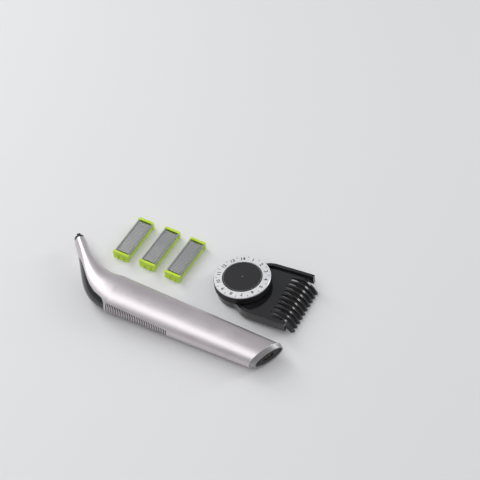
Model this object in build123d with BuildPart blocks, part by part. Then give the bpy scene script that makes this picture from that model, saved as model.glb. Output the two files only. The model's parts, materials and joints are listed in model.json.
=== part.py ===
from build123d import *
import math
import os

# Beard trimmer laid out on a flat surface: the bent handle on its side, three click-on blade
# cartridges and the dial comb.  Millimetres, +X along the handle towards its tail, +Y away from
# the handle, +Z up, origin at the middle of the set's footprint on the surface.
os.makedirs("parts", exist_ok=True)

# ---- driving sizes of the handle --------------------------------------------------------
wall = 1.2                # casing wall
shoulder_x = -30.0        # where the straight grip ends and the neck starts to bend
tail_x = 74.0             # middle of the slanted tail rim
shoulder_depth = 27.4     # front to back
shoulder_width = 18.4     # side to side, which is the height while the handle lies on its side
tail_depth = 22.8
tail_width = 14.6
tail_slant = 26.0         # slant of the tail rim, degrees
bezel_length = 3.0
bezel_taper = 1.7         # how much narrower the bezel gets, per side
neck_turn = 44.0          # bend of the neck, degrees
neck_tip_depth = 7.2
neck_tip_width = 9.0
fit = 0.05                # gap between fitted pieces of one body
run = 0.12                # gap between pieces that move on each other

# ---- driving sizes of what the handle holds ---------------------------------------------
battery_radius = 5.2
battery_length = 44.0
battery_x = 20.0
motor_radius = 6.8
motor_length = 23.0
motor_x = -16.5
motor_wall = 0.8
shaft_radius = 0.75
throw = 0.4               # how far the eccentric pin stands off the motor's axis
lever_half = 1.2          # half width of the drive lever
pivot = (-51.4, 7.6)      # lever pivot, in the handle's bend plane
pivot_radius = 1.0
drive_pin_radius = 0.8     # of the free end that reaches into a cartridge's driver
pin_shank_radius = 0.6
drive_pin_length = 5.2
pin_step = 2.4
board_y = 6.95
board_thickness = 1.0
rail_y = -8.3             # back face of the chassis rail
rail_thickness = 1.3
button_x = -8.0
button_length = 9.0
button_width = 5.4
button_travel = 0.5
button_proud = 0.15
window_x = 44.0
window_length = 15.0
window_width = 5.2
fascia_width = 9.0
fascia_start = -24.0
fascia_end = 60.0
rib_count = 36
rib_pitch = 1.2
rib_width = 0.55
rib_depth = 0.45
rib_reach = 4.6           # half length of the longest rib

# ---- driving sizes of the dial comb -----------------------------------------------------
comb_tilt = 6.0           # the comb rests on its teeth, so its dial leans
comb_half = 22.4          # half the width over the side rails
comb_rail = 2.2
comb_end = 40.0           # far end of the rails from the dial's centre
deck_low = 1.4
deck_high = 3.0
rail_high = 6.2
dial_radius = 18.5
dial_low = 5.2
dial_high = 10.2
ring_inner = 12.9
ring_height = 0.8
axle_radius = 2.5
cam_start = 5.5           # follower's distance from the axle at the shortest setting
comb_travel = 9.6
dial_turn = 315.0         # degrees of dial for the whole comb travel
follower_radius = 0.9
tooth_count = 10
tooth_width = 1.3
tooth_pitch = 3.75

# ---- driving sizes of a blade cartridge -------------------------------------------------
blade_length = 34.0
blade_width = 11.1
blade_height = 5.9
cap_length = 1.7
guard_low = 4.2
guard_high = 5.4
guard_window = 8.9
cutter_stroke = 0.9
tooth_step = 1.0          # pitch of the guard's teeth
tooth_depth = 0.7

# ---- where each unit lies ---------------------------------------------------------------
handle_at = (-3.4, -27.5)
handle_yaw = -1.4
comb_at = (35.0, 17.4)
comb_yaw = -2.0
blade_places = [(-47.8, 23.3, 87.2), (-28.4, 23.4, 86.6), (-9.2, 22.0, 86.1)]


def slope(start, end, at):
    """Value at x on the straight line between two (x, value) ends."""
    share = (at - start[0]) / (end[0] - start[0])
    return start[1] + share * (end[1] - start[1])


def depth_at(x):
    return slope((shoulder_x, shoulder_depth), (tail_x, tail_depth), x)


def width_at(x):
    return slope((shoulder_x, shoulder_width), (tail_x, tail_width), x)


# The handle lies with its lower side flat on the surface, so its middle plane leans a little.
lean = math.degrees(math.atan((shoulder_width - tail_width) / 2 / (tail_x - shoulder_x)))
HANDLE = Plane(
    Location((handle_at[0], handle_at[1], width_at(0) / 2 / math.cos(math.radians(lean))))
    * Location((0, 0, 0), (0, 0, handle_yaw))
    * Location((0, 0, 0), (0, lean, 0))
)
comb_rest = 17.5 * math.sin(math.radians(comb_tilt))
COMB = Plane(
    Location((comb_at[0], comb_at[1], comb_rest))
    * Location((0, 0, 0), (0, 0, comb_yaw))
    * Location((0, 0, 0), (0, -comb_tilt, 0))
)
BLADES = [Plane(Location((x, y, 0), (0, 0, turn))) for x, y, turn in blade_places]


def on(frame, origin=(0, 0, 0), x_dir=(1, 0, 0), z_dir=(0, 0, 1)):
    """A plane given in the frame of one unit, put where that unit lies."""
    return Plane(frame.location * Plane(origin=origin, x_dir=x_dir, z_dir=z_dir).location)


def toward_tip(turn):
    return (-math.cos(math.radians(turn)), math.sin(math.radians(turn)), 0)


def inner_side(turn):
    return (math.sin(math.radians(turn)), math.cos(math.radians(turn)), 0)


def save(piece, name):
    piece.label = name
    export_step(piece, f"parts/{name}.step")


# ---- casing shape: a straight tapered grip, then ellipses along the bending neck -----------
neck_stations = [
    (shoulder_x, -0.1, 0.0, shoulder_depth, shoulder_width),
    (-37.2, 0.7, 12.6, 25.3, 17.9),
    (-43.7, 2.9, 25.8, 21.6, 16.7),
    (-50.0, 6.8, 35.8, 17.0, 15.0),
    (-56.7, 12.2, 41.6, 12.5, 13.0),
    (-64.2, 19.1, 43.9, 9.0, 10.9),
    (-68.6, 23.4, neck_turn, 8.1, 9.9),
    (-73.0, 27.7, neck_turn, neck_tip_depth, neck_tip_width),
]
tip_x, tip_y = neck_stations[-1][0], neck_stations[-1][1]
ahead = toward_tip(neck_turn)
across = inner_side(neck_turn)


def at_tip(distance):
    """Plane across the neck, this far past the casing's tip; its x runs to the inner side."""
    centre = (tip_x + distance * ahead[0], tip_y + distance * ahead[1], 0)
    return on(HANDLE, centre, across, ahead)


def section(x, y, turn, depth, width, inset):
    """An ellipse across the spine at (x, y), drawn in by inset."""
    with BuildSketch(on(HANDLE, (x, y, 0), inner_side(turn), toward_tip(turn))) as oval:
        Circle(depth / 2 - inset)
        scale(by=(1, (width / 2 - inset) / (depth / 2 - inset), 1))
    return oval.sketch


def casing_solid(inset, past_tip=0.0):
    """The handle's outer shape, drawn in by inset and carried past the neck's tip."""
    x, y, turn, depth, width = neck_stations[-1]
    beyond = tail_x + 2 * shoulder_depth
    with BuildPart() as solid:
        loft([section(beyond, 0, 0, depth_at(beyond), width_at(beyond), inset),
              section(shoulder_x, neck_stations[0][1], 0, shoulder_depth, shoulder_width, inset)])
        loft([section(*station, inset) for station in neck_stations])
        if past_tip > 0:
            extrude(section(x, y, turn, depth, width, inset), amount=past_tip, dir=at_tip(0).z_dir)
    return solid.part


def slanted(x):
    """Plane across the tail, leaning with the tail rim, crossing the spine at x."""
    s = math.radians(tail_slant)
    return on(HANDLE, (x, 0, 0), (math.sin(s), math.cos(s), 0), (math.cos(s), -math.sin(s), 0))


rim_half = tail_depth / 2 / math.cos(math.radians(tail_slant))
rim_high = tail_width / 2

with BuildPart() as shell:
    add(casing_solid(0))
    split(bisect_by=slanted(tail_x), keep=Keep.BOTTOM)
    add(casing_solid(wall, past_tip=3), mode=Mode.SUBTRACT)

# The black back panel covers the outside of the bend up to an S-shaped part line.
part_line = [(-74.0, 18.0), (-69.6, 16.9), (-65.6, 14.2), (-56.0, 5.1), (-47.2, -3.6),
             (-38.7, -8.8), (-33.5, -10.8), (-31.0, -13.6), (-30.6, -20.0)]
with BuildPart() as back_zone:
    with BuildSketch(on(HANDLE, (0, 0, -20))):
        with BuildLine():
            part_edge = Spline(*part_line)
            Polyline(part_edge @ 1, (-60, -24), (-80, 2), part_edge @ 0)
        make_face()
    extrude(amount=40)


def slot_zone(x, length, width):
    """A round-ended prism that goes through the front of the casing."""
    with BuildPart() as zone:
        with BuildSketch(on(HANDLE, (x, 0, 0), (1, 0, 0), (0, 1, 0))):
            SlotOverall(length, width)
        extrude(amount=30)
    return zone.part


fascia_mid = (fascia_start + fascia_end) / 2
fascia_length = fascia_end - fascia_start
fascia_zone = slot_zone(fascia_mid, fascia_length, fascia_width)
fascia_hole = slot_zone(fascia_mid, fascia_length + 2 * fit, fascia_width + 2 * fit)


def rib_set(proud, gap):
    """Curved ribs round the back of the grip; their reach shrinks towards the tail."""
    with BuildPart() as ribs:
        for i in range(rib_count):
            x = shoulder_x + 0.4 + rib_pitch * i
            half_deep, half_wide = depth_at(x) / 2, width_at(x) / 2
            reach = rib_reach * (1 - 0.5 * i / rib_count)
            with BuildSketch(on(HANDLE, (x - rib_width / 2 - gap, 0, 0), (0, 1, 0), (1, 0, 0))):
                Ellipse(half_deep + proud, half_wide + proud)
                Ellipse(half_deep - rib_depth - gap, half_wide - rib_depth - gap, mode=Mode.SUBTRACT)
                with Locations((-half_deep, 0)):
                    Rectangle(half_deep, 2 * (reach + gap), mode=Mode.INTERSECT)
            extrude(amount=rib_width + 2 * gap)
    return ribs.part


save(rib_set(0.1, 0), "grip_ribs")

with BuildPart() as casing:
    add(shell.part)
    add(back_zone.part, mode=Mode.SUBTRACT)
    add(fascia_hole, mode=Mode.SUBTRACT)
    add(rib_set(1.0, fit / 2), mode=Mode.SUBTRACT)
save(casing.part, "casing")

with BuildPart() as back_panel:
    add(shell.part)
    add(back_zone.part, mode=Mode.INTERSECT)
save(back_panel.part, "back_panel")

with BuildPart() as front_fascia:
    add(shell.part)
    add(fascia_zone, mode=Mode.INTERSECT)
    add(slot_zone(button_x, button_length + 2 * run, button_width + 2 * run), mode=Mode.SUBTRACT)
    add(slot_zone(window_x, window_length + 2 * fit, window_width + 2 * fit), mode=Mode.SUBTRACT)
save(front_fascia.part, "front_fascia")

with BuildPart() as display_window:
    add(shell.part)
    add(slot_zone(window_x, window_length, window_width), mode=Mode.INTERSECT)
save(display_window.part, "display_window")

button_foot = depth_at(button_x) / 2 - wall - 2.1
with BuildPart() as power_button:
    add(casing_solid(-button_proud))
    add(slot_zone(button_x, button_length, button_width), mode=Mode.INTERSECT)
    with BuildSketch(on(HANDLE, (button_x, button_foot, 0), (1, 0, 0), (0, 1, 0))):
        Rectangle(40, 40)
    extrude(amount=-20, mode=Mode.SUBTRACT)
    with BuildSketch(on(HANDLE, (button_x, button_foot, 0), (1, 0, 0), (0, 1, 0))):
        SlotOverall(button_length + 0.8, button_width + 0.8)
    extrude(amount=0.7)
save(power_button.part, "power_button")

# ---- tail: tapered bezel, end plate and charging inlet ------------------------------------
spigot = 3.0
bezel_wall = 2.0
TAIL = slanted(tail_x + bezel_length)      # the slanted end face of the bezel
plate_thickness = 1.4
plate_recess = 0.7
plate_back = plate_recess + plate_thickness
plate_gap = 0.8                            # land between the plate and the bezel's edge
bore_half = (tail_depth / 2 - wall) / math.cos(math.radians(tail_slant))
bore_high = tail_width / 2 - wall

with BuildPart() as tail_bezel:
    with BuildSketch(slanted(tail_x + 0.1)):
        Ellipse(rim_half - 0.1, rim_high - 0.1)
    with BuildSketch(TAIL):
        Ellipse(rim_half - bezel_taper, rim_high - bezel_taper)
    loft()
    with BuildSketch(slanted(tail_x - spigot)):
        Ellipse(bore_half - 0.15, bore_high - 0.15)
    extrude(amount=spigot + 0.5, dir=HANDLE.x_dir)
    with BuildSketch(slanted(tail_x - spigot - 1)):
        Ellipse(rim_half - bezel_taper - bezel_wall, rim_high - bezel_taper - bezel_wall)
    extrude(amount=spigot + bezel_length + 3, dir=HANDLE.x_dir, mode=Mode.SUBTRACT)
    with BuildSketch(TAIL.offset(-plate_back)):
        Ellipse(rim_half - bezel_taper - plate_gap, rim_high - bezel_taper - plate_gap)
    extrude(amount=plate_back + 1, mode=Mode.SUBTRACT)
save(tail_bezel.part, "tail_bezel")

inlet_length = 8.0
inlet_width = 4.4
pin_radius = 0.5
pin_spacing = 2.6
screw_place = -7.6
with BuildPart() as tail_plate:
    with BuildSketch(TAIL.offset(fit - plate_back)):
        Ellipse(rim_half - bezel_taper - plate_gap - fit, rim_high - bezel_taper - plate_gap - fit)
        SlotOverall(inlet_length, inlet_width, mode=Mode.SUBTRACT)
        with Locations((screw_place, 0)):
            Circle(0.9, mode=Mode.SUBTRACT)
    extrude(amount=plate_thickness - fit)
save(tail_plate.part, "tail_plate")

with BuildPart() as charge_inlet:
    with BuildSketch(TAIL.offset(-plate_back - 4)):
        SlotOverall(inlet_length - 2 * fit, inlet_width - 2 * fit)
        with Locations((-pin_spacing / 2, 0), (pin_spacing / 2, 0)):
            Circle(pin_radius + 0.02, mode=Mode.SUBTRACT)
    extrude(amount=4 + plate_thickness - 0.6)
save(charge_inlet.part, "charge_inlet")

with BuildPart() as charge_pins:
    with BuildSketch(TAIL.offset(-plate_back - 5.5)):
        with Locations((-pin_spacing / 2, 0), (pin_spacing / 2, 0)):
            Circle(pin_radius)
    extrude(amount=5.5 + plate_thickness - 0.1)
save(charge_pins.part, "charge_pins")

with BuildPart() as tail_screw:
    with BuildSketch(TAIL.offset(0.02 - plate_recess)):
        with Locations((screw_place, 0)):
            Circle(1.5)
            Rectangle(2.0, 0.4, mode=Mode.SUBTRACT)
    extrude(amount=0.5)
    with BuildSketch(TAIL.offset(0.03 - plate_recess)):
        with Locations((screw_place, 0)):
            Circle(0.85)
    extrude(amount=-4)
save(tail_screw.part, "tail_screw")

# ---- neck head: the black seat that a blade cartridge clicks onto --------------------------
head_out = 2.2
head_in = 5.0
lever_slot_deep = 2.9
lever_slot_wide = 2 * (lever_half + 1.2)

with BuildPart() as neck_head:
    with BuildSketch(at_tip(-head_in)):
        Ellipse(neck_tip_depth / 2 - wall - 0.15, neck_tip_width / 2 - wall - 0.15)
    extrude(amount=head_in + fit)
    with BuildSketch(at_tip(fit)):
        Ellipse(neck_tip_depth / 2 - 0.35, neck_tip_width / 2 - 0.35)
    extrude(amount=head_out)
    with BuildSketch(at_tip(head_out)):
        with Locations((0, neck_tip_width / 2 - 1.2), (0, 1.2 - neck_tip_width / 2)):
            Rectangle(2.4, 0.8)
    extrude(amount=1.4)
    with BuildSketch(at_tip(-head_in - 1)):
        Rectangle(lever_slot_deep, lever_slot_wide)
    extrude(amount=head_in + head_out + 3, mode=Mode.SUBTRACT)
save(neck_head.part, "neck_head")

# ---- drive: motor, eccentric, rocking lever -------------------------------------------------
motor_front = motor_x - motor_length / 2
motor_back = motor_x + motor_length / 2
AXIAL = (0, 90, 0)        # turns a cylinder to lie along the handle

with BuildPart(HANDLE) as motor_can:
    with Locations((motor_x, 0, 0)):
        Cylinder(motor_radius, motor_length, rotation=AXIAL)
        Cylinder(motor_radius - motor_wall, motor_length - 2 * motor_wall, rotation=AXIAL,
                 mode=Mode.SUBTRACT)
        Cylinder(1.6, motor_length + 2, rotation=AXIAL, mode=Mode.SUBTRACT)
save(motor_can.part, "motor_can")

with BuildPart(HANDLE) as motor_bushes:
    with Locations((motor_front + 0.4, 0, 0), (motor_back - 0.4, 0, 0)):
        Cylinder(1.55, 0.8, rotation=AXIAL)
        Cylinder(shaft_radius + 0.03, 3, rotation=AXIAL, mode=Mode.SUBTRACT)
save(motor_bushes.part, "motor_bushes")

magnet_radius = motor_radius - motor_wall - fit
with BuildPart(HANDLE) as motor_magnets:
    with Locations((motor_x, 0, 0)):
        Cylinder(magnet_radius, 13, rotation=AXIAL)
        Cylinder(magnet_radius - 0.9, 14, rotation=AXIAL, mode=Mode.SUBTRACT)
        Box(16, 16, 4, mode=Mode.SUBTRACT)
save(motor_magnets.part, "motor_magnets")

hub_x = motor_front - 1.9
hub_length = 2.6
shaft_end = motor_back + 1.0
with BuildPart(HANDLE) as motor_shaft:
    with Locations(((hub_x + shaft_end) / 2, 0, 0)):
        Cylinder(shaft_radius, shaft_end - hub_x, rotation=AXIAL)
save(motor_shaft.part, "motor_shaft")

with BuildPart(HANDLE) as motor_armature:
    with Locations((motor_x, 0, 0)):
        Cylinder(magnet_radius - 1.4, 12, rotation=AXIAL)
    with Locations((motor_x + 7.5, 0, 0)):
        Cylinder(2.2, 4.0, rotation=AXIAL)
    with Locations((motor_x, 0, 0)):
        Cylinder(shaft_radius, motor_length, rotation=AXIAL, mode=Mode.SUBTRACT)
save(motor_armature.part, "motor_armature")

crank_x = hub_x - hub_length / 2
crank_pin = 3.2
with BuildPart(HANDLE) as eccentric:
    with Locations((hub_x, 0, 0)):
        Cylinder(2.4, hub_length, rotation=AXIAL)
    with Locations((crank_x - crank_pin / 2, 0, throw)):
        Cylinder(0.6, crank_pin, rotation=AXIAL)
    with Locations((hub_x + hub_length / 2, 0, 0)):
        Cylinder(shaft_radius, hub_length, rotation=AXIAL, mode=Mode.SUBTRACT)
save(eccentric.part, "eccentric")

fork_x = crank_x - 1.9
arm_angle = math.degrees(math.atan2(tip_y - pivot[1], pivot[0] - tip_x))
PIVOT_UP = on(HANDLE, (pivot[0], pivot[1], 0), (0, 0, 1), inner_side(arm_angle))
eye_radius = 2.4
eye_half = 1.8
pin_grip = 2.4            # length of the drive pin held in the lever
with BuildPart() as drive_lever:
    with BuildSketch(on(HANDLE, (0, 0, -lever_half))):
        with BuildLine():
            Polyline((fork_x, 0), pivot, (tip_x - 0.6 * ahead[0], tip_y - 0.6 * ahead[1]))
        trace(line_width=1.7)
    extrude(amount=2 * lever_half)
    with BuildSketch(on(HANDLE, (fork_x - 0.7, 0, 0), (0, 1, 0), (1, 0, 0))):
        Circle(3.0)
    extrude(amount=1.4)
    with BuildSketch(PIVOT_UP.offset(-eye_half)):
        Circle(eye_radius)
    extrude(amount=2 * eye_half)
    with BuildSketch(at_tip(-pin_grip - 1)):
        Circle(pin_shank_radius + 0.45)
    extrude(amount=pin_grip + 0.6)
    with BuildSketch(on(HANDLE, (fork_x - 5, 0, 0), (0, 1, 0), (1, 0, 0))):
        Circle(1.75)
    extrude(amount=8, mode=Mode.SUBTRACT)
    with BuildSketch(PIVOT_UP.offset(-3)):
        Circle(pivot_radius + 0.04)
    extrude(amount=6, mode=Mode.SUBTRACT)
    with BuildSketch(at_tip(-pin_grip)):
        Circle(pin_shank_radius)
    extrude(amount=pin_grip + 1, mode=Mode.SUBTRACT)
save(drive_lever.part, "drive_lever")

with BuildPart() as drive_pin:
    with BuildSketch(at_tip(-pin_grip)):
        Circle(pin_shank_radius)
    extrude(amount=pin_grip + pin_step)
    with BuildSketch(at_tip(pin_step)):
        Circle(drive_pin_radius)
    extrude(amount=drive_pin_length - pin_step)
    fillet(drive_pin.faces().sort_by(Axis(at_tip(0).origin, at_tip(0).z_dir))[-1].edges(), 0.3)
save(drive_pin.part, "drive_pin")

pivot_reach = 4.5
with BuildPart() as lever_pivot:
    with BuildSketch(PIVOT_UP.offset(-pivot_reach)):
        Circle(pivot_radius)
    extrude(amount=2 * pivot_reach)
save(lever_pivot.part, "lever_pivot")

# ---- chassis, battery, board ---------------------------------------------------------------
rail_end = 62.0
battery_y = -1.0
with BuildPart(HANDLE) as chassis:
    with Locations(((shoulder_x + rail_end) / 2, rail_y + rail_thickness / 2, 0)):
        Box(rail_end - shoulder_x, rail_thickness, 6.4)
    for x, half, y, radius in ((-24, 5.0, 0, motor_radius), (-9, 5.0, 0, motor_radius),
                               (5, 4.8, battery_y, battery_radius),
                               (35, 4.3, battery_y, battery_radius)):
        with Locations((x, (rail_y - 2.6) / 2, 0)):
            Box(1.6, -2.6 - rail_y, 2 * half)
        with Locations((x, y, 0)):
            Cylinder(radius + fit, 4, rotation=AXIAL, mode=Mode.SUBTRACT)
save(chassis.part, "chassis")

lug_gap = eye_half + run
lug_length = 3.4
with BuildPart() as pivot_bracket:
    for side in (-1, 1):
        start = PIVOT_UP.offset(side * lug_gap)
        with BuildSketch(start):
            Rectangle(2 * (eye_radius + 0.6), lug_length)
            Circle(pivot_radius, mode=Mode.SUBTRACT)
        extrude(amount=side * 2.2)
    with BuildSketch(PIVOT_UP.offset(-lug_gap - 2.2)):
        with Locations((eye_radius + 1.0, 0), (-eye_radius - 1.0, 0)):
            Rectangle(1.6, lug_length)
    extrude(amount=2 * (lug_gap + 2.2))
save(pivot_bracket.part, "pivot_bracket")

with BuildPart(HANDLE) as battery:
    with Locations((battery_x, battery_y, 0)):
        Cylinder(battery_radius, battery_length, rotation=AXIAL)
    with Locations((battery_x + battery_length / 2 + 0.4, battery_y, 0)):
        Cylinder(1.8, 0.8, rotation=AXIAL)
save(battery.part, "battery")

with BuildPart(HANDLE) as battery_tabs:
    for x in (battery_x - battery_length / 2 - 0.25, battery_x + battery_length / 2 + 0.95):
        with Locations((x, 2.2, 0)):
            Box(0.3, 9.0, 3.0)
save(battery_tabs.part, "battery_tabs")

board_length = fascia_length - 6.0
with BuildPart(HANDLE) as circuit_board:
    with Locations((fascia_mid, board_y + board_thickness / 2, 0)):
        Box(board_length, board_thickness, 6.0)
save(circuit_board.part, "circuit_board")

switch_height = button_foot - button_travel - 0.15 - board_y - board_thickness
with BuildPart(HANDLE) as button_switch:
    with Locations((button_x, board_y + board_thickness + (switch_height - 0.5) / 2, 0)):
        Box(4.4, switch_height - 0.5, 4.4)
    with Locations((button_x, board_y + board_thickness + switch_height / 2, 0)):
        Cylinder(1.2, switch_height, rotation=(90, 0, 0))
save(button_switch.part, "button_switch")

with BuildPart(HANDLE) as display_module:
    with Locations((window_x, board_y + board_thickness + 0.75 + 0.02, 0)):
        Box(window_length - 2, 1.5, 4.2)
save(display_module.part, "display_module")

with BuildPart(HANDLE) as board_screws:
    for x in (fascia_mid - board_length / 2 + 3, fascia_mid + 12):
        with Locations((x, board_y + board_thickness + 0.45, 0)):
            Cylinder(1.3, 0.8, rotation=(90, 0, 0))
save(board_screws.part, "board_screws")

# ---- dial comb -----------------------------------------------------------------------------
rail_out = comb_half


def comb_outline(inset, far):
    """Outline of the comb frame: a round end under the dial that flares into two side rails."""
    r = dial_radius - 1.0 - inset
    flare = rail_out - inset
    with BuildSketch() as outline:
        with BuildLine():
            top = Spline((2, r), (9, r + 0.72 * (flare - r)), (18, flare - 0.3), (far, flare),
                         tangents=((1, 0.25), (1, 0)))
            bottom = Spline((2, -r), (9, -r - 0.72 * (flare - r)), (18, 0.3 - flare),
                            (far, -flare), tangents=((1, -0.25), (1, 0)))
            Line(top @ 1, bottom @ 1)
            ThreePointArc(top @ 0, (-r, 0), bottom @ 0)
        make_face()
    return outline.sketch


with BuildPart(COMB) as comb_frame:
    with BuildSketch(on(COMB, (0, 0, 0))):
        add(comb_outline(0, comb_end))
    extrude(amount=rail_high)
    with BuildSketch(on(COMB, (0, 0, deck_high))):
        add(comb_outline(comb_rail, comb_end + 5))
    extrude(amount=rail_high, mode=Mode.SUBTRACT)
    with BuildSketch(on(COMB, (0, 0, 0))):
        add(comb_outline(comb_rail, comb_end + 5))
    extrude(amount=deck_low, mode=Mode.SUBTRACT)
    with Locations((24 + 20, 0, 3)):
        Box(40, 2 * (comb_half - comb_rail), 12, mode=Mode.SUBTRACT)
    with Locations((0, 0, dial_low - 0.3 + 5)):
        Cylinder(dial_radius + 0.4, 10, mode=Mode.SUBTRACT)
    with Locations((0, 0, deck_low / 2 + deck_high / 2)):
        Cylinder(axle_radius - 0.5, 4, mode=Mode.SUBTRACT)
save(comb_frame.part, "comb_frame")

with BuildPart(COMB) as dial_axle:
    with Locations((0, 0, (deck_high + fit + 9.0) / 2)):
        Cylinder(axle_radius, 9.0 - deck_high - fit)
    with Locations((0, 0, (deck_low + deck_high) / 2)):
        Cylinder(axle_radius - 0.55, deck_high - deck_low + 0.4)
    with Locations((0, 0, 6)):
        Cylinder(1.0, 12, mode=Mode.SUBTRACT)
save(dial_axle.part, "dial_axle")

with BuildPart(COMB) as dial_screw:
    with Locations((0, 0, 9.1 + 0.45)):
        Cylinder(3.4, 0.9)
    with Locations((0, 0, 6.4)):
        Cylinder(0.95, 5.6)
save(dial_screw.part, "dial_screw")

knurls = 90
with BuildPart(COMB) as dial_wheel:
    with Locations((0, 0, (dial_low + dial_high) / 2)):
        Cylinder(dial_radius, dial_high - dial_low)
    with Locations((0, 0, (dial_low + 7.6) / 2)):
        Cylinder(dial_radius - 1.5, 7.6 - dial_low, mode=Mode.SUBTRACT)
    with Locations((0, 0, 8)):
        Cylinder(axle_radius + run / 2, 6, mode=Mode.SUBTRACT)
    with Locations((0, 0, 10)):
        Cylinder(3.7, 2.0, mode=Mode.SUBTRACT)
    with BuildSketch(on(COMB, (0, 0, dial_low))):
        with PolarLocations(dial_radius + 0.1, knurls):
            Circle(0.42)
    extrude(amount=dial_high - dial_low - 0.7, mode=Mode.SUBTRACT)
save(dial_wheel.part, "dial_wheel")

with BuildPart() as dial_ring:
    with BuildSketch(on(COMB, (0, 0, dial_high))):
        Circle(dial_radius - 0.2)
        Circle(ring_inner, mode=Mode.SUBTRACT)
    extrude(amount=ring_height)
    chamfer(dial_ring.faces().sort_by(Axis(COMB.origin, COMB.z_dir))[-1].edges(), 0.25)
save(dial_ring.part, "dial_ring")

with BuildPart() as dial_cap:
    with BuildSketch(on(COMB, (0, 0, dial_high))):
        Circle(ring_inner - 0.1)
    extrude(amount=ring_height + 0.15)
    chamfer(dial_cap.faces().sort_by(Axis(COMB.origin, COMB.z_dir))[-1].edges(), 0.3)
save(dial_cap.part, "dial_cap")

groove_half = follower_radius + run / 2
cam_low = deck_high + 2.4
cam_high = 7.6 - fit


def spiral(offset, steps=24):
    """Points beside the spiral that the follower needs as the dial turns."""
    points = []
    for i in range(-1, steps + 2):
        share = i / steps
        radius = cam_start + comb_travel * share + offset
        angle = -math.radians(dial_turn) * share
        points.append((radius * math.cos(angle), radius * math.sin(angle)))
    return points


with BuildPart() as dial_cam:
    with BuildSketch(on(COMB, (0, 0, cam_low))):
        Circle(dial_radius - 1.5 - fit)
        Circle(axle_radius + run / 2, mode=Mode.SUBTRACT)
    extrude(amount=cam_high - cam_low)
    with BuildSketch(on(COMB, (0, 0, cam_low - 1))):
        with BuildLine():
            inner = Spline(*spiral(-groove_half))
            outer = Spline(*spiral(groove_half))
            Line(inner @ 0, outer @ 0)
            Line(inner @ 1, outer @ 1)
        make_face()
    extrude(amount=1 + cam_high - cam_low - 0.35, mode=Mode.SUBTRACT)
save(dial_cam.part, "dial_cam")

panel_low = deck_high + 0.2
panel_high = panel_low + 1.4
panel_half = comb_half - comb_rail - 0.3
teeth_start = 25.0
teeth_end = 44.0
teeth_foot = -(teeth_end + 17.5) * math.tan(math.radians(comb_tilt)) + 0.4


with BuildPart(COMB) as comb_slider:
    with BuildSketch(on(COMB, (0, 0, panel_low))):
        add(comb_outline(comb_rail + 0.3, teeth_start + 2))
        with Locations((cam_start - 2.0 - 30, 0)):
            Rectangle(60, 60, mode=Mode.SUBTRACT)
        with Locations((teeth_start + 10, 0)):
            Rectangle(16, 60, mode=Mode.SUBTRACT)
    extrude(amount=panel_high - panel_low)
    for side in (-1, 1):
        with Locations(((teeth_start + 34) / 2, side * (panel_half - 1.9), (panel_low + panel_high) / 2)):
            Box(36 - teeth_start, 3.8, panel_high - panel_low)
    for i in range(tooth_count):
        with BuildSketch(on(COMB, (0, (i - (tooth_count - 1) / 2) * tooth_pitch + tooth_width / 2, 0),
                            (1, 0, 0), (0, -1, 0))):
            with BuildLine():
                ridge = Spline((teeth_start + 1, panel_high - 0.3), (teeth_start + 9, panel_high + 0.6),
                               (teeth_end, teeth_foot + 1.6), tangents=((1, 0.2), (0.45, -1)))
                under = Spline((teeth_end - 2.2, teeth_foot), (teeth_start + 8, panel_low - 1.6),
                               (teeth_start + 1, panel_low + 0.3), tangents=((-1, 0.9), (-1, 0)))
                Line(ridge @ 1, under @ 0)
                Line(under @ 1, ridge @ 0)
            make_face()
        extrude(amount=tooth_width)
    with Locations((cam_start, 0, (panel_high - 0.2 + cam_high - 0.8) / 2)):
        Cylinder(follower_radius, cam_high - 0.6 - panel_high)
save(comb_slider.part, "comb_slider")

with BuildPart(COMB) as detent_spring:
    with Locations((-9, 0, deck_high + 0.2)):
        Box(9, 3.0, 0.3)
    with Locations((-12.9, 0, (deck_high + 0.05 + cam_low - 0.1) / 2)):
        Box(1.2, 1.2, cam_low - 0.15 - deck_high)
save(detent_spring.part, "detent_spring")

with BuildPart(COMB) as neck_clip:
    with Locations((-3, 0, deck_low - 0.65)):
        Box(18, 15, 1.1)
        Box(12, 8, 4, mode=Mode.SUBTRACT)
save(neck_clip.part, "neck_clip")

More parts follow.
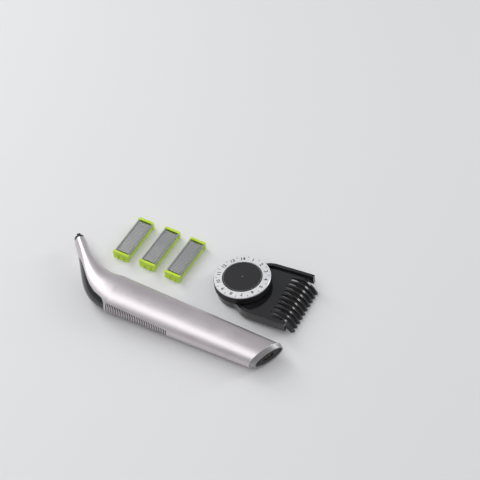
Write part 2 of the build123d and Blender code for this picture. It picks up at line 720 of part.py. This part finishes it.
# ---- blade cartridges ----------------------------------------------------------------------
cap_x = blade_length / 2 - cap_length
tray_high = 3.0
for number, frame in enumerate(BLADES, start=1):
    with BuildPart(frame) as blade_base:
        with Locations((0, 0, tray_high / 2)):
            Box(blade_length, blade_width - 1.0, tray_high)
        with Locations((blade_length / 2 - cap_length / 2, 0, blade_height / 2),
                       (cap_length / 2 - blade_length / 2, 0, blade_height / 2)):
            Box(cap_length, blade_width, blade_height)
        with Locations((0, 0, 1.2 + 2)):
            Box(2 * cap_x - 2.4, blade_width - 3.4, 4, mode=Mode.SUBTRACT)
        with Locations((0, 0, 0.6)):
            Box(7, 4.6, 4, mode=Mode.SUBTRACT)
        with Locations((0, 0, (guard_low + guard_high) / 2)):
            Box(blade_length - 1.6, blade_width - 1.0, guard_high - guard_low + fit, mode=Mode.SUBTRACT)
        with Locations((-blade_length / 2 - 0.35, 2.2, 2.0), (-blade_length / 2 - 0.35, -2.2, 2.0)):
            Box(0.7, 1.3, 2.0)
    save(blade_base.part, f"blade_{number}_base")

    rail_length = blade_length - 1.6 - 2 * fit
    with BuildPart(frame) as blade_guard:
        with Locations((0, 0, (guard_low + guard_high) / 2)):
            Box(rail_length, blade_width - 1.0 - 2 * fit, guard_high - guard_low)
            Box(2 * cap_x - fit * 2, blade_width, guard_high - guard_low)
            Box(2 * cap_x - 0.3, guard_window, 3, mode=Mode.SUBTRACT)
        for side in (-1, 1):
            with Locations((0, side * (blade_width / 2), (guard_low + guard_high) / 2)):
                with GridLocations(tooth_step, 1, int(2 * cap_x / tooth_step), 1):
                    Box(0.5 * tooth_step, 2 * tooth_depth, 3, mode=Mode.SUBTRACT)
    save(blade_guard.part, f"blade_{number}_guard")

    with BuildPart(frame) as blade_cutter:
        with Locations((0, 0, (guard_low + guard_high) / 2 - 0.2)):
            Box(2 * (cap_x - cutter_stroke - 0.35), guard_window - 0.7, guard_high - guard_low)
        with Locations((0, 0, guard_low - 0.4)):
            Box(2 * (cap_x - cutter_stroke - 0.35), blade_width - 0.8, 0.6)
        for side in (-1, 1):
            with Locations((0, side * (blade_width / 2), guard_low - 0.4)):
                with GridLocations(1.6, 1, int(2 * (cap_x - 2) / 1.6), 1):
                    Box(0.8, 2 * tooth_depth, 1.2, mode=Mode.SUBTRACT)
    save(blade_cutter.part, f"blade_{number}_cutter")

    with BuildPart(frame) as blade_driver:
        with Locations((0, 0, (1.4 + guard_low - 0.7) / 2)):
            Box(6.0, 4.0, guard_low - 0.7 - 1.4)
            Box(2 * drive_pin_radius + 0.1, 2.6, 4, mode=Mode.SUBTRACT)
    save(blade_driver.part, f"blade_{number}_driver")

    with BuildPart(frame) as blade_spring:
        with Locations((0, 3.2, 2.0), (0, -3.2, 2.0)):
            Box(2 * cap_x - 2.6, 0.5, 0.5)
    save(blade_spring.part, f"blade_{number}_spring")
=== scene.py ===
# %% [markdown]
# # A beard trimmer laid out with its comb and spare blades
# The trimmer has a bent handle that lies on its side, three click-on blade cartridges, and a
# comb with a dial.  Their real shapes come from the imported CAD model, so this script keeps
# every CAD piece where it is, gives each one a finish, and adds the small details that are
# too fine or too decorative for CAD: lighter rings that paint highlight lines on the handle's
# cut edges, dial figures and marks, and a lighter line at the cap's edge.

# %% Load the fixed frame
import json
import math
import bmesh
import bpy
from mathutils import Euler, Matrix, Vector


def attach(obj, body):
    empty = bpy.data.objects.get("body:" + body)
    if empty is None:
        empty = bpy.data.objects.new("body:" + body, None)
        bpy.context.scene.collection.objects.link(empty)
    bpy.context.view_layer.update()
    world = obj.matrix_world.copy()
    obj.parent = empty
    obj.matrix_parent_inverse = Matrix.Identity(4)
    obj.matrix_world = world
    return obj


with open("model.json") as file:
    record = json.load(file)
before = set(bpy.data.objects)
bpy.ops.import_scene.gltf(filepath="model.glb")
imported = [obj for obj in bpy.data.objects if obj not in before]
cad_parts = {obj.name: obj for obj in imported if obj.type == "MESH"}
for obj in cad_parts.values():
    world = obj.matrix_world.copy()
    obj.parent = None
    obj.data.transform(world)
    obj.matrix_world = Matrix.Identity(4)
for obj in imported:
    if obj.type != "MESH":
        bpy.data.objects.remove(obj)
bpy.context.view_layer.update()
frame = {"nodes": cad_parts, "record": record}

# %% [markdown]
# ## Where each unit lies
# Every unit of the set has its own axes: the handle leans a little because its lower side
# lies flat, and the comb leans because it rests on its teeth.  A small matrix for each unit
# lets the details be modelled in the unit's own millimetres and then put in place at once.

# %% The units' own axes
MM = 0.001


def unit(place, turns):
    turned = Euler([math.radians(t) for t in turns]).to_matrix().to_4x4()
    return Matrix.Translation(Vector(place) * MM) @ turned


HANDLE_PLACE, HANDLE_TURN = (-3.4, -27.5, 8.6534), (0, 1.0466, -1.4)
COMB_PLACE, COMB_TURN = (35.0, 17.4, 1.8292), (0, -6.0, -2.0)
HANDLE = unit(HANDLE_PLACE, HANDLE_TURN)
COMB = unit(COMB_PLACE, COMB_TURN)
print("dial centre", [round(v, 4) for v in COMB.translation])

# %% [markdown]
# ## Camera, floor and light
# The set is seen from above the near side with a long lens, and stands on a plain pale floor.
# The light is a studio's: a long wide soft box above the near side lays a broad band of light
# along the handle, and two weaker boxes shape the neck and the far edges.

# %% Camera
RIGHT = Vector((0.9055, 0.4243, -0.0012))
UP = Vector((-0.3172, 0.6786, 0.6625))
BACK = Vector((0.2820, -0.5995, 0.7491))
camera_data = bpy.data.cameras.new("camera")
camera_data.lens = 94.95
camera_data.sensor_width = 36
camera_data.clip_start = 0.01
camera = bpy.data.objects.new("camera", camera_data)
camera.matrix_world = Matrix((RIGHT, UP, BACK)).transposed().to_4x4()
camera.matrix_world.translation = Vector((0.2516, -0.4488, 0.6295))
bpy.context.scene.collection.objects.link(camera)
bpy.context.scene.camera = camera

# %% Floor
floor_shape = bmesh.new()
bmesh.ops.create_grid(floor_shape, x_segments=1, y_segments=1, size=3.0)
floor_mesh = bpy.data.meshes.new("floor")
floor_shape.to_mesh(floor_mesh)
floor_shape.free()
floor = bpy.data.objects.new("floor", floor_mesh)
bpy.context.scene.collection.objects.link(floor)
paper = bpy.data.materials.new("paper")
paper.use_nodes = True
paper.node_tree.nodes["Principled BSDF"].inputs["Base Color"].default_value = (0.80, 0.80, 0.80, 1)
paper.node_tree.nodes["Principled BSDF"].inputs["Roughness"].default_value = 0.7
floor_mesh.materials.append(paper)


# %% Lights
def soft_box(name, place, aim, size, power):
    lamp = bpy.data.lights.new(name, "AREA")
    lamp.shape = "RECTANGLE"
    lamp.size, lamp.size_y = size
    lamp.energy = power
    box = bpy.data.objects.new(name, lamp)
    box.location = place
    box.rotation_mode = "QUATERNION"
    box.rotation_quaternion = (Vector(aim) - Vector(place)).to_track_quat("-Z", "Y")
    bpy.context.scene.collection.objects.link(box)


soft_box("long box", (-0.25, -0.34, 0.95), (0, 0, 0), (1.3, 0.55), 4.0)
soft_box("fill box", (-0.9, 0.35, 0.7), (0, 0, 0), (0.5, 0.7), 4.5)
soft_box("edge box", (0.75, 0.75, 0.5), (0, 0, 0), (0.25, 0.6), 2.5)
world = bpy.data.worlds.new("studio")
world.use_nodes = True
world.node_tree.nodes["Background"].inputs["Color"].default_value = (0.95, 0.96, 1.0, 1)
world.node_tree.nodes["Background"].inputs["Strength"].default_value = 0.42
bpy.context.scene.world = world
bpy.context.scene.view_settings.view_transform = "Standard"

# %% [markdown]
# ## Shared surface effects
# Real surfaces are never quite even.  Three small groups are used again and again: a moulded
# or blasted grain, fine straight brush lines, and fine turned lines round a centre.  Each
# group gives only a mask and a normal, and each finish decides what to do with them.


# %% A group's outline
def group_of(name, inputs):
    group = bpy.data.node_groups.new(name, "ShaderNodeTree")
    for label, kind, value in inputs:
        socket = group.interface.new_socket(label, in_out="INPUT", socket_type=kind)
        if value is not None:
            socket.default_value = value
    group.interface.new_socket("Mask", in_out="OUTPUT", socket_type="NodeSocketFloat")
    group.interface.new_socket("Normal", in_out="OUTPUT", socket_type="NodeSocketVector")
    return group, group.nodes.new("NodeGroupInput"), group.nodes.new("NodeGroupOutput")


def bump_out(group, height, depth, out):
    bump = group.nodes.new("ShaderNodeBump")
    group.links.new(height, bump.inputs["Height"])
    group.links.new(depth, bump.inputs["Distance"])
    group.links.new(bump.outputs["Normal"], out.inputs["Normal"])
    group.links.new(height, out.inputs["Mask"])


SIZES = [("Vector", "NodeSocketVector", None), ("Density", "NodeSocketFloat", 2500.0),
         ("Depth", "NodeSocketFloat", 0.00001)]

# %% Grain
grain, arrive, leave = group_of("grain", SIZES)
speckle = grain.nodes.new("ShaderNodeTexNoise")
speckle.inputs["Detail"].default_value = 3.0
grain.links.new(arrive.outputs["Vector"], speckle.inputs["Vector"])
grain.links.new(arrive.outputs["Density"], speckle.inputs["Scale"])
bump_out(grain, speckle.outputs["Fac"], arrive.outputs["Depth"], leave)

# %% Brush lines along x
brushed, arrive, leave = group_of("brushed", SIZES)
stretch = brushed.nodes.new("ShaderNodeVectorMath")
stretch.operation = "MULTIPLY"
stretch.inputs[1].default_value = (0.012, 1.0, 1.0)
strokes = brushed.nodes.new("ShaderNodeTexNoise")
strokes.inputs["Detail"].default_value = 2.0
brushed.links.new(arrive.outputs["Vector"], stretch.inputs[0])
brushed.links.new(stretch.outputs["Vector"], strokes.inputs["Vector"])
brushed.links.new(arrive.outputs["Density"], strokes.inputs["Scale"])
bump_out(brushed, strokes.outputs["Fac"], arrive.outputs["Depth"], leave)

# %% Turned lines round z
turned, arrive, leave = group_of("turned", SIZES)
flatten = turned.nodes.new("ShaderNodeVectorMath")
flatten.operation = "MULTIPLY"
flatten.inputs[1].default_value = (1.0, 1.0, 0.0)
radius = turned.nodes.new("ShaderNodeVectorMath")
radius.operation = "LENGTH"
rings = turned.nodes.new("ShaderNodeTexNoise")
rings.noise_dimensions = "1D"
turned.links.new(arrive.outputs["Vector"], flatten.inputs[0])
turned.links.new(flatten.outputs["Vector"], radius.inputs[0])
turned.links.new(radius.outputs["Value"], rings.inputs["W"])
turned.links.new(arrive.outputs["Density"], rings.inputs["Scale"])
bump_out(turned, rings.outputs["Fac"], arrive.outputs["Depth"], leave)
print("groups:", [g.name for g in bpy.data.node_groups])

# %% [markdown]
# ## A finish
# Every finish starts the same way: its colour drifts between two near tones in soft patches,
# its gloss drifts with the same patches, and one of the groups above gives the fine relief.
# Mapping set to Texture turns the place into the unit's own axes, so brush lines follow it.


# %% The common part of a finish
FINISHES = {}


def finish(slot_name, tones, gloss, metal=0.0, patch=70.0, relief=grain, density=2500.0,
           depth=0.000008, place=(0, 0, 0), turns=(0, 0, 0), coat=0.0, line_share=0.0):
    made = bpy.data.materials.new(slot_name)
    made.use_nodes = True
    nodes, links = made.node_tree.nodes, made.node_tree.links
    shader = nodes["Principled BSDF"]
    where = nodes.new("ShaderNodeTexCoord")
    own = nodes.new("ShaderNodeMapping")
    own.vector_type = "TEXTURE"
    own.inputs["Location"].default_value = Vector(place) * MM
    own.inputs["Rotation"].default_value = [math.radians(t) for t in turns]
    links.new(where.outputs["Object"], own.inputs["Vector"])
    cloud = nodes.new("ShaderNodeTexNoise")
    cloud.inputs["Scale"].default_value = patch
    cloud.inputs["Detail"].default_value = 4.0
    links.new(own.outputs["Vector"], cloud.inputs["Vector"])
    fine = nodes.new("ShaderNodeGroup")
    fine.node_tree = relief
    fine.inputs["Density"].default_value = density
    fine.inputs["Depth"].default_value = depth
    links.new(own.outputs["Vector"], fine.inputs["Vector"])
    blend = nodes.new("ShaderNodeMix")
    blend.data_type = "FLOAT"
    blend.inputs["Factor"].default_value = line_share
    links.new(cloud.outputs["Fac"], blend.inputs["A"])
    links.new(fine.outputs["Mask"], blend.inputs["B"])
    tone = nodes.new("ShaderNodeValToRGB")
    tone.color_ramp.elements[0].position = 0.32
    tone.color_ramp.elements[1].position = 0.68
    tone.color_ramp.elements[0].color = (*tones[0], 1)
    tone.color_ramp.elements[1].color = (*tones[1], 1)
    links.new(blend.outputs["Result"], tone.inputs["Fac"])
    links.new(tone.outputs["Color"], shader.inputs["Base Color"])
    sheen = nodes.new("ShaderNodeMapRange")
    sheen.inputs["From Min"].default_value = 0.3
    sheen.inputs["From Max"].default_value = 0.7
    sheen.inputs["To Min"].default_value = gloss[0]
    sheen.inputs["To Max"].default_value = gloss[1]
    links.new(blend.outputs["Result"], sheen.inputs["Value"])
    links.new(sheen.outputs["Result"], shader.inputs["Roughness"])
    links.new(fine.outputs["Normal"], shader.inputs["Normal"])
    shader.inputs["Metallic"].default_value = metal
    shader.inputs["Coat Weight"].default_value = coat
    shader.inputs["Coat Roughness"].default_value = 0.08
    FINISHES[slot_name] = made
    return made


# %% [markdown]
# ## The handle's finishes
# The casing is drawn aluminium, blasted and then anodised a slightly warm silver: satin, with
# faint lines along the drawing direction.  The bezel is the same metal made darker: partly a
# greyer metal, partly painted shade of its bevel turned away from the light.  The back panel and
# front strip are injection-moulded gloss black, and the grip ribs are soft rubber.

# %% Handle finishes
along = dict(place=HANDLE_PLACE, turns=HANDLE_TURN)
finish("satin_silver", ((0.62, 0.58, 0.595), (0.72, 0.675, 0.69)), (0.36, 0.44), metal=0.85,
       relief=brushed, density=5000, depth=0.0000035, line_share=0.45, **along)
# satin_grey is the casing's silver made darker; on the bezel it is partly greyer metal, partly
# painted shade of the turned-away bevel.
finish("satin_grey", ((0.36, 0.345, 0.35), (0.42, 0.405, 0.41)), (0.36, 0.44), metal=0.8,
       relief=brushed, density=4000, depth=0.000004, line_share=0.4, **along)
finish("gloss_black", ((0.006, 0.006, 0.007), (0.011, 0.011, 0.012)), (0.10, 0.16), coat=0.6,
       depth=0.000001)
finish("matt_black", ((0.012, 0.012, 0.013), (0.022, 0.022, 0.023)), (0.42, 0.55),
       density=5000, depth=0.000006)
finish("grip_rubber", ((0.010, 0.010, 0.011), (0.018, 0.018, 0.019)), (0.62, 0.75),
       density=7000, depth=0.00001)
finish("smoked_lens", ((0.010, 0.010, 0.013), (0.014, 0.014, 0.017)), (0.04, 0.07),
       depth=0.0000005, coat=0.8)
finish("chrome_trim", ((0.80, 0.80, 0.82), (0.88, 0.88, 0.90)), (0.24, 0.32), metal=0.7,
       relief=turned, density=6000, depth=0.000002, place=(-10.5, -14.0, 8.6))
finish("gold_contact", ((0.30, 0.24, 0.14), (0.38, 0.30, 0.17)), (0.30, 0.40), metal=1.0)

# %% [markdown]
# ## What the handle holds
# The drive parts are steel, brass and nylon, the magnets are grey sintered ferrite, the coils
# are enamelled copper, the cell wears a blue shrink sleeve, and the board is green laminate.
# They are out of sight, but an open view or a cut model shows them, so they are finished too.

# %% Inner finishes
finish("steel", ((0.50, 0.50, 0.51), (0.62, 0.62, 0.63)), (0.18, 0.28), metal=1.0,
       relief=brushed, density=9000, depth=0.000002, line_share=0.4, **along)
finish("plated_steel", ((0.50, 0.51, 0.49), (0.62, 0.63, 0.60)), (0.25, 0.36), metal=1.0,
       patch=160)
finish("brass", ((0.68, 0.48, 0.20), (0.76, 0.56, 0.26)), (0.2, 0.3), metal=1.0,
       relief=turned, density=6000, depth=0.000003, place=COMB_PLACE, turns=COMB_TURN)
finish("ferrite", ((0.045, 0.045, 0.046), (0.075, 0.075, 0.076)), (0.6, 0.75), density=5000,
       depth=0.00002)
finish("copper_winding", ((0.42, 0.14, 0.05), (0.62, 0.26, 0.11)), (0.25, 0.4), metal=0.8,
       relief=brushed, density=3500, depth=0.00005, line_share=0.7, **along)
finish("white_nylon", ((0.68, 0.67, 0.62), (0.76, 0.75, 0.70)), (0.38, 0.5), density=3000)
finish("cell_sleeve", ((0.035, 0.11, 0.30), (0.045, 0.14, 0.36)), (0.22, 0.32), patch=120,
       density=900, depth=0.00001)
finish("board_laminate", ((0.008, 0.055, 0.020), (0.015, 0.10, 0.035)), (0.3, 0.42),
       patch=500, density=3000)
finish("display_resin", ((0.62, 0.64, 0.66), (0.72, 0.74, 0.76)), (0.35, 0.45), density=3500)

# %% [markdown]
# ## The comb's and the blades' finishes
# The comb is moulded smoky black plastic with a polished skin.  The dial's ring is turned
# aluminium, so its fine lines run round the axle, and its cap is matt black.  The blade
# frames are bright lime plastic.  The guard foil is ground steel and the cutter is lapped.

# %% Comb finishes
about_dial = dict(place=COMB_PLACE, turns=COMB_TURN)
finish("smoke_black", ((0.007, 0.007, 0.008), (0.013, 0.013, 0.014)), (0.13, 0.20), coat=0.5,
       depth=0.000002)
finish("dial_silver", ((0.80, 0.80, 0.81), (0.94, 0.94, 0.95)), (0.34, 0.46), metal=0.6,
       relief=turned, density=5000, depth=0.000008, line_share=0.75, **about_dial)
finish("cap_black", ((0.005, 0.005, 0.006), (0.009, 0.009, 0.010)), (0.50, 0.60),
       relief=turned, density=3000, depth=0.000002, **about_dial)
finish("lime_green", ((0.52, 0.74, 0.03), (0.62, 0.84, 0.05)), (0.26, 0.36), patch=200,
       density=4000, depth=0.000003, coat=0.2)
finish("blade_steel", ((0.62, 0.63, 0.61), (0.78, 0.79, 0.77)), (0.20, 0.30), metal=0.9,
       relief=brushed, density=9000, depth=0.000003, line_share=0.6, turns=(0, 0, 86.6))

# %% [markdown]
# The cutter's face carries a diagonal hatch of tiny shaving slots.  Cutting hundreds of slots
# would cost many faces for something a tenth of a millimetre wide, so a wave texture turned to
# forty-five degrees darkens and lowers the lines instead, on top of the lapped steel.

# %% The hatched cutter
HATCH_SCALE = 400.0
lapped = finish("cutter_steel", ((0.30, 0.31, 0.30), (0.40, 0.41, 0.40)), (0.30, 0.42), metal=0.8,
                relief=brushed, density=9000, depth=0.000002, turns=(0, 0, 86.6))
nodes, links = lapped.node_tree.nodes, lapped.node_tree.links
shader = nodes["Principled BSDF"]
diagonal = nodes.new("ShaderNodeMapping")
diagonal.inputs["Rotation"].default_value = (0, 0, math.radians(-41.6))
hatch = nodes.new("ShaderNodeTexWave")
hatch.inputs["Scale"].default_value = HATCH_SCALE
hatch.inputs["Distortion"].default_value = 0.0
slots = nodes.new("ShaderNodeValToRGB")
slots.color_ramp.elements[0].position = 0.35
slots.color_ramp.elements[1].position = 0.65
slots.color_ramp.elements[0].color = (0.20, 0.205, 0.20, 1)
slots.color_ramp.elements[1].color = (0.56, 0.565, 0.56, 1)
coordinates = next(n for n in nodes if n.type == "TEX_COORD")
links.new(coordinates.outputs["Object"], diagonal.inputs["Vector"])
links.new(diagonal.outputs["Vector"], hatch.inputs["Vector"])
links.new(hatch.outputs["Fac"], slots.inputs["Fac"])
links.new(slots.outputs["Color"], shader.inputs["Base Color"])
cut = nodes.new("ShaderNodeBump")
cut.inputs["Distance"].default_value = 0.00004
links.new(hatch.outputs["Fac"], cut.inputs["Height"])
links.new(cut.outputs["Normal"], shader.inputs["Normal"])
print("hatch finish ready:", lapped.name)

# %% [markdown]
# ## Dressing the CAD pieces
# The record names a finish for every piece, so one loop dresses them all and nothing is
# forgotten.

# %% Dress every CAD piece
for entry in frame["record"]["subparts"]:
    piece = frame["nodes"][entry["node"]]
    piece.data.materials.clear()
    piece.data.materials.append(FINISHES[entry["material_slot"]])

# %% [markdown]
# ## Adding a new piece
# New details are modelled in a unit's own axes in millimetres.  When the shape is done it is
# scaled to metres and put in place in one step, so its object stays at the origin, unturned.


# %% Put a finished shape in place
def place_piece(name, shape, where, body, finish_name, smooth=True):
    bmesh.ops.scale(shape, vec=(MM, MM, MM), verts=shape.verts)
    bmesh.ops.transform(shape, matrix=where, verts=shape.verts)
    bmesh.ops.recalc_face_normals(shape, faces=shape.faces)
    mesh = bpy.data.meshes.new(name)
    shape.to_mesh(mesh)
    shape.free()
    for face in mesh.polygons:
        face.use_smooth = smooth
    mesh.materials.append(FINISHES[finish_name])
    piece = bpy.data.objects.new(name, mesh)
    bpy.context.scene.collection.objects.link(piece)
    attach(piece, body)
    print(name, len(mesh.polygons), "faces")
    return piece


def ring_shape(major, minor, steps=96, sides=10):
    shape = bmesh.new()
    loop = bmesh.ops.create_circle(shape, segments=sides, radius=minor, cap_ends=False)
    turn = Matrix.Translation((major, 0, 0)) @ Matrix.Rotation(math.radians(90), 4, "X")
    bmesh.ops.transform(shape, matrix=turn, verts=loop["verts"])
    bmesh.ops.spin(shape, geom=shape.verts[:] + shape.edges[:], cent=(0, 0, 0), axis=(0, 0, 1),
                   angle=math.radians(360), steps=steps, use_merge=True)
    return shape


# %% [markdown]
# ## Painted highlight lines at the handle's cut edges
# Where the anodised casing is cut off at the tail and at the neck's tip, a thin line of light
# runs along the cut edge.  A thin ring of lighter trim metal, spun round and pressed to the
# oval of the cut, paints that highlight line.

# %% The tail's painted highlight ring
TAIL_SLANT = math.radians(26)
TAIL_X = 74.0
TAIL_RIM_LONG, TAIL_RIM_SHORT = 12.62, 7.14
tail_highlight_ring = ring_shape(TAIL_RIM_LONG, 0.24)
bmesh.ops.scale(tail_highlight_ring, vec=(1, TAIL_RIM_SHORT / TAIL_RIM_LONG, 1), verts=tail_highlight_ring.verts)
slant = Matrix(((math.sin(TAIL_SLANT), 0, math.cos(TAIL_SLANT), TAIL_X),
                (math.cos(TAIL_SLANT), 0, -math.sin(TAIL_SLANT), 0),
                (0, 1, 0, 0), (0, 0, 0, 1)))
bmesh.ops.transform(tail_highlight_ring, matrix=slant, verts=tail_highlight_ring.verts)
# This lighter chrome ring along the tail's cut edge paints that edge's highlight line.
place_piece("tail_painted_highlight", tail_highlight_ring, HANDLE, "handle", "chrome_trim")

# %% The neck tip's painted highlight ring
NECK_TURN = math.radians(44)
TIP = (-73.0, 27.7)
TIP_RIM_DEEP, TIP_RIM_WIDE = 3.48, 4.38
tip_highlight_ring = ring_shape(TIP_RIM_DEEP, 0.14, steps=72)
bmesh.ops.scale(tip_highlight_ring, vec=(1, TIP_RIM_WIDE / TIP_RIM_DEEP, 1), verts=tip_highlight_ring.verts)
tip_place = Matrix(((math.sin(NECK_TURN), 0, -math.cos(NECK_TURN), TIP[0]),
                    (math.cos(NECK_TURN), 0, math.sin(NECK_TURN), TIP[1]),
                    (0, 1, 0, 0), (0, 0, 0, 1)))
bmesh.ops.transform(tip_highlight_ring, matrix=tip_place, verts=tip_highlight_ring.verts)
# This lighter chrome ring round the neck tip's cut edge paints that edge's highlight line.
place_piece("neck_painted_highlight", tip_highlight_ring, HANDLE, "handle", "chrome_trim")

# %% [markdown]
# ## The dial's face
# The ring carries the length settings as small printed figures with a short mark between each
# pair.  Print has almost no height, so each figure is a text turned into a thin mesh, laid
# round the ring and joined into one piece.  The figures turn with the dial.

# %% Dial figures
RING_TOP = 11.0
PRINT_HIGH = 0.02
SETTINGS = 14
FIGURE_RADIUS = 15.3
figures = bmesh.new()
for number in range(1, SETTINGS + 1):
    writing = bpy.data.curves.new("figure", "FONT")
    writing.body = str(number)
    writing.size = 3.3
    writing.offset = 0.07
    writing.extrude = 0.012
    writing.align_x, writing.align_y = "CENTER", "CENTER"
    carrier = bpy.data.objects.new("figure", writing)
    bpy.context.scene.collection.objects.link(carrier)
    flat = bpy.data.meshes.new_from_object(
        carrier.evaluated_get(bpy.context.evaluated_depsgraph_get()))
    angle = math.radians(90 - 360 / SETTINGS * (number - 1))
    spot = Matrix.Rotation(angle - math.radians(90), 4, "Z")
    flat.transform(spot @ Matrix.Translation((0, FIGURE_RADIUS, RING_TOP + PRINT_HIGH)))
    figures.from_mesh(flat)
    bpy.data.objects.remove(carrier)
    bpy.data.meshes.remove(flat)
place_piece("dial_figures", figures, COMB, "dial", "matt_black", smooth=False)

# %% Dial marks
MARK_RADIUS = 16.9
marks = bmesh.new()
for number in range(SETTINGS):
    bar = bmesh.ops.create_cube(marks, size=1.0)["verts"]
    bmesh.ops.scale(marks, vec=(0.28, 1.5, 0.03), verts=bar)
    bmesh.ops.translate(marks, vec=(0, MARK_RADIUS, RING_TOP + PRINT_HIGH), verts=bar)
    bmesh.ops.rotate(marks, cent=(0, 0, 0), verts=bar,
                     matrix=Matrix.Rotation(math.radians(360 / SETTINGS * (number + 0.5)), 3, "Z"))
place_piece("dial_marks", marks, COMB, "dial", "matt_black", smooth=False)

# %% The cap's lighter edge line, partly a painted highlight, and centre dot
CAP_TOP = 11.10
# This lighter grey ring stands for the thin rim at the cap's edge. It also paints the highlight
# that the dial ring's inner edge catches there.
rim_and_highlight = ring_shape(12.2, 0.09, sides=8)
bmesh.ops.translate(rim_and_highlight, vec=(0, 0, CAP_TOP), verts=rim_and_highlight.verts)
place_piece("cap_rim_and_highlight", rim_and_highlight, COMB, "dial", "satin_grey")
dot = bmesh.new()
bmesh.ops.create_uvsphere(dot, u_segments=24, v_segments=12, radius=0.45)
bmesh.ops.scale(dot, vec=(1, 1, 0.12), verts=dot.verts)
bmesh.ops.translate(dot, vec=(0, 0, CAP_TOP + PRINT_HIGH), verts=dot.verts)
place_piece("cap_dot", dot, COMB, "dial", "satin_grey")
